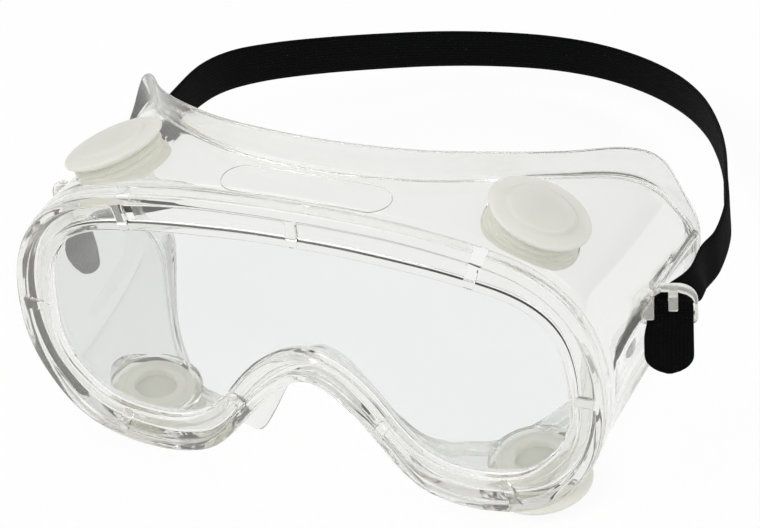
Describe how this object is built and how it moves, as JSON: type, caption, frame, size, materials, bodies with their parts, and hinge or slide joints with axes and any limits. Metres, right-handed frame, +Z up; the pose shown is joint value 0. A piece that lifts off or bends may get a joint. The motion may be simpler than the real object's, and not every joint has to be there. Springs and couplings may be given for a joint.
{
  "type": "safety goggles",
  "caption": "Clear soft-framed splash goggles with a flat lens, capped indirect vents on top and bottom walls, and a black elastic head strap.",
  "frame": {"origin": "on the front face of the lens, at the middle of the bezel's width and height", "axes": "-Y out of the front of the lens, +Y towards the wearer, +X to the right when facing the front, +Z up towards the brow"},
  "size_m": [0.181, 0.1975, 0.0986],
  "materials": {
    "clear_vinyl": "clear soft vinyl, moulded",
    "clear_lens": "clear polished",
    "milky_plastic": "milky translucent",
    "milky_cap": "milky translucent",
    "black_elastic": "knitted elastic webbing"
  },
  "bodies": {
    "frame": {"frame_body": "clear_vinyl", "lens": "clear_lens", "vent_base_top_left": "milky_plastic", "vent_base_top_right": "milky_plastic", "vent_base_bottom_left": "milky_plastic", "vent_base_bottom_right": "milky_plastic", "strap_tail_left": "black_elastic", "strap_tail_right": "black_elastic"},
    "strap": {"strap_band": "black_elastic"},
    "cap_top_left": {"vent_cap_top_left": "milky_cap"},
    "cap_top_right": {"vent_cap_top_right": "milky_cap"},
    "cap_bottom_left": {"vent_cap_bottom_left": "milky_cap"},
    "cap_bottom_right": {"vent_cap_bottom_right": "milky_cap"}
  },
  "joints": [
    {"name": "strap_swing", "type": "hinge", "parent": "frame", "child": "strap", "pos_m": [0, 0.0445, 0.0008], "axis": [1, 0, 0], "range_deg": [-50, 95]},
    {"name": "cap_top_left_pull", "type": "slide", "parent": "frame", "child": "cap_top_left", "axis": [-0.3802, 0.09, 0.9205], "range_m": [0, 0.0035]},
    {"name": "cap_top_right_pull", "type": "slide", "parent": "frame", "child": "cap_top_right", "axis": [0.3802, 0.09, 0.9205], "range_m": [0, 0.0035]},
    {"name": "cap_bottom_left_pull", "type": "slide", "parent": "frame", "child": "cap_bottom_left", "axis": [-0.0995, 0.0298, -0.9946], "range_m": [0, 0.0035]},
    {"name": "cap_bottom_right_pull", "type": "slide", "parent": "frame", "child": "cap_bottom_right", "axis": [0.0995, 0.0298, -0.9946], "range_m": [0, 0.0035]}
  ]
}
